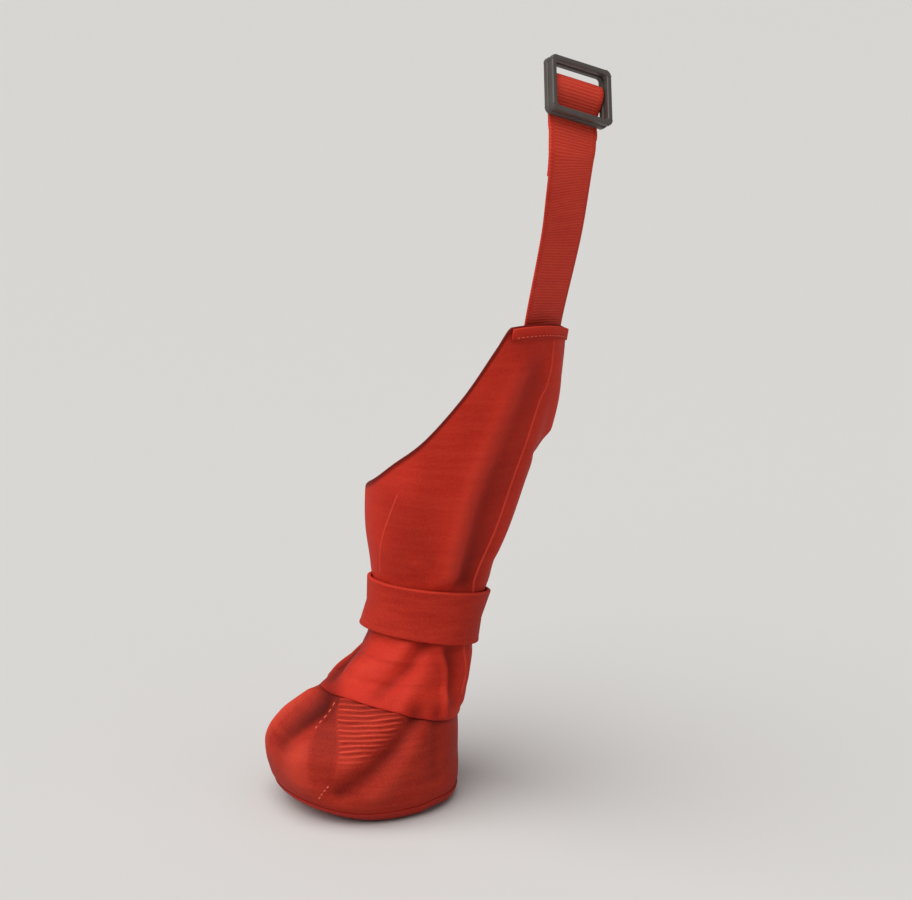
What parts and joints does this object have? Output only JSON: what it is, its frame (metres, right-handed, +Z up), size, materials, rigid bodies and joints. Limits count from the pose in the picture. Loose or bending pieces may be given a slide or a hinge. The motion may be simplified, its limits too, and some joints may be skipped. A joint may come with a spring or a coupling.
{
  "type": "dog boot",
  "caption": "Soft hollow dog boot for a left front paw: rounded paw bag on a thin lugged sole, slanted sleeve, wide ankle strap, and a webbing hanger with a slide adjuster.",
  "frame": {"origin": "on the floor under the middle of the paw, at the flat face of the tread block there", "axes": "toe towards -Y, the outer side of the leg towards +X, +Z up along the leg"},
  "size_m": [0.0768, 0.1476, 0.3175],
  "materials": {
    "upper_cloth": "matte",
    "shaft_cloth": "matte",
    "strap_tape": "matte",
    "web_tape": "satin",
    "sole_rubber": "matte",
    "insole_felt": "matte",
    "slider_plastic": "satin"
  },
  "bodies": {
    "root": {"outsole": "sole_rubber", "insole": "insole_felt", "upper": "upper_cloth", "shaft": "shaft_cloth", "ankle_strap": "strap_tape", "tab_hem": "shaft_cloth", "webbing": "web_tape", "slider": "slider_plastic"}
  },
  "joints": []
}
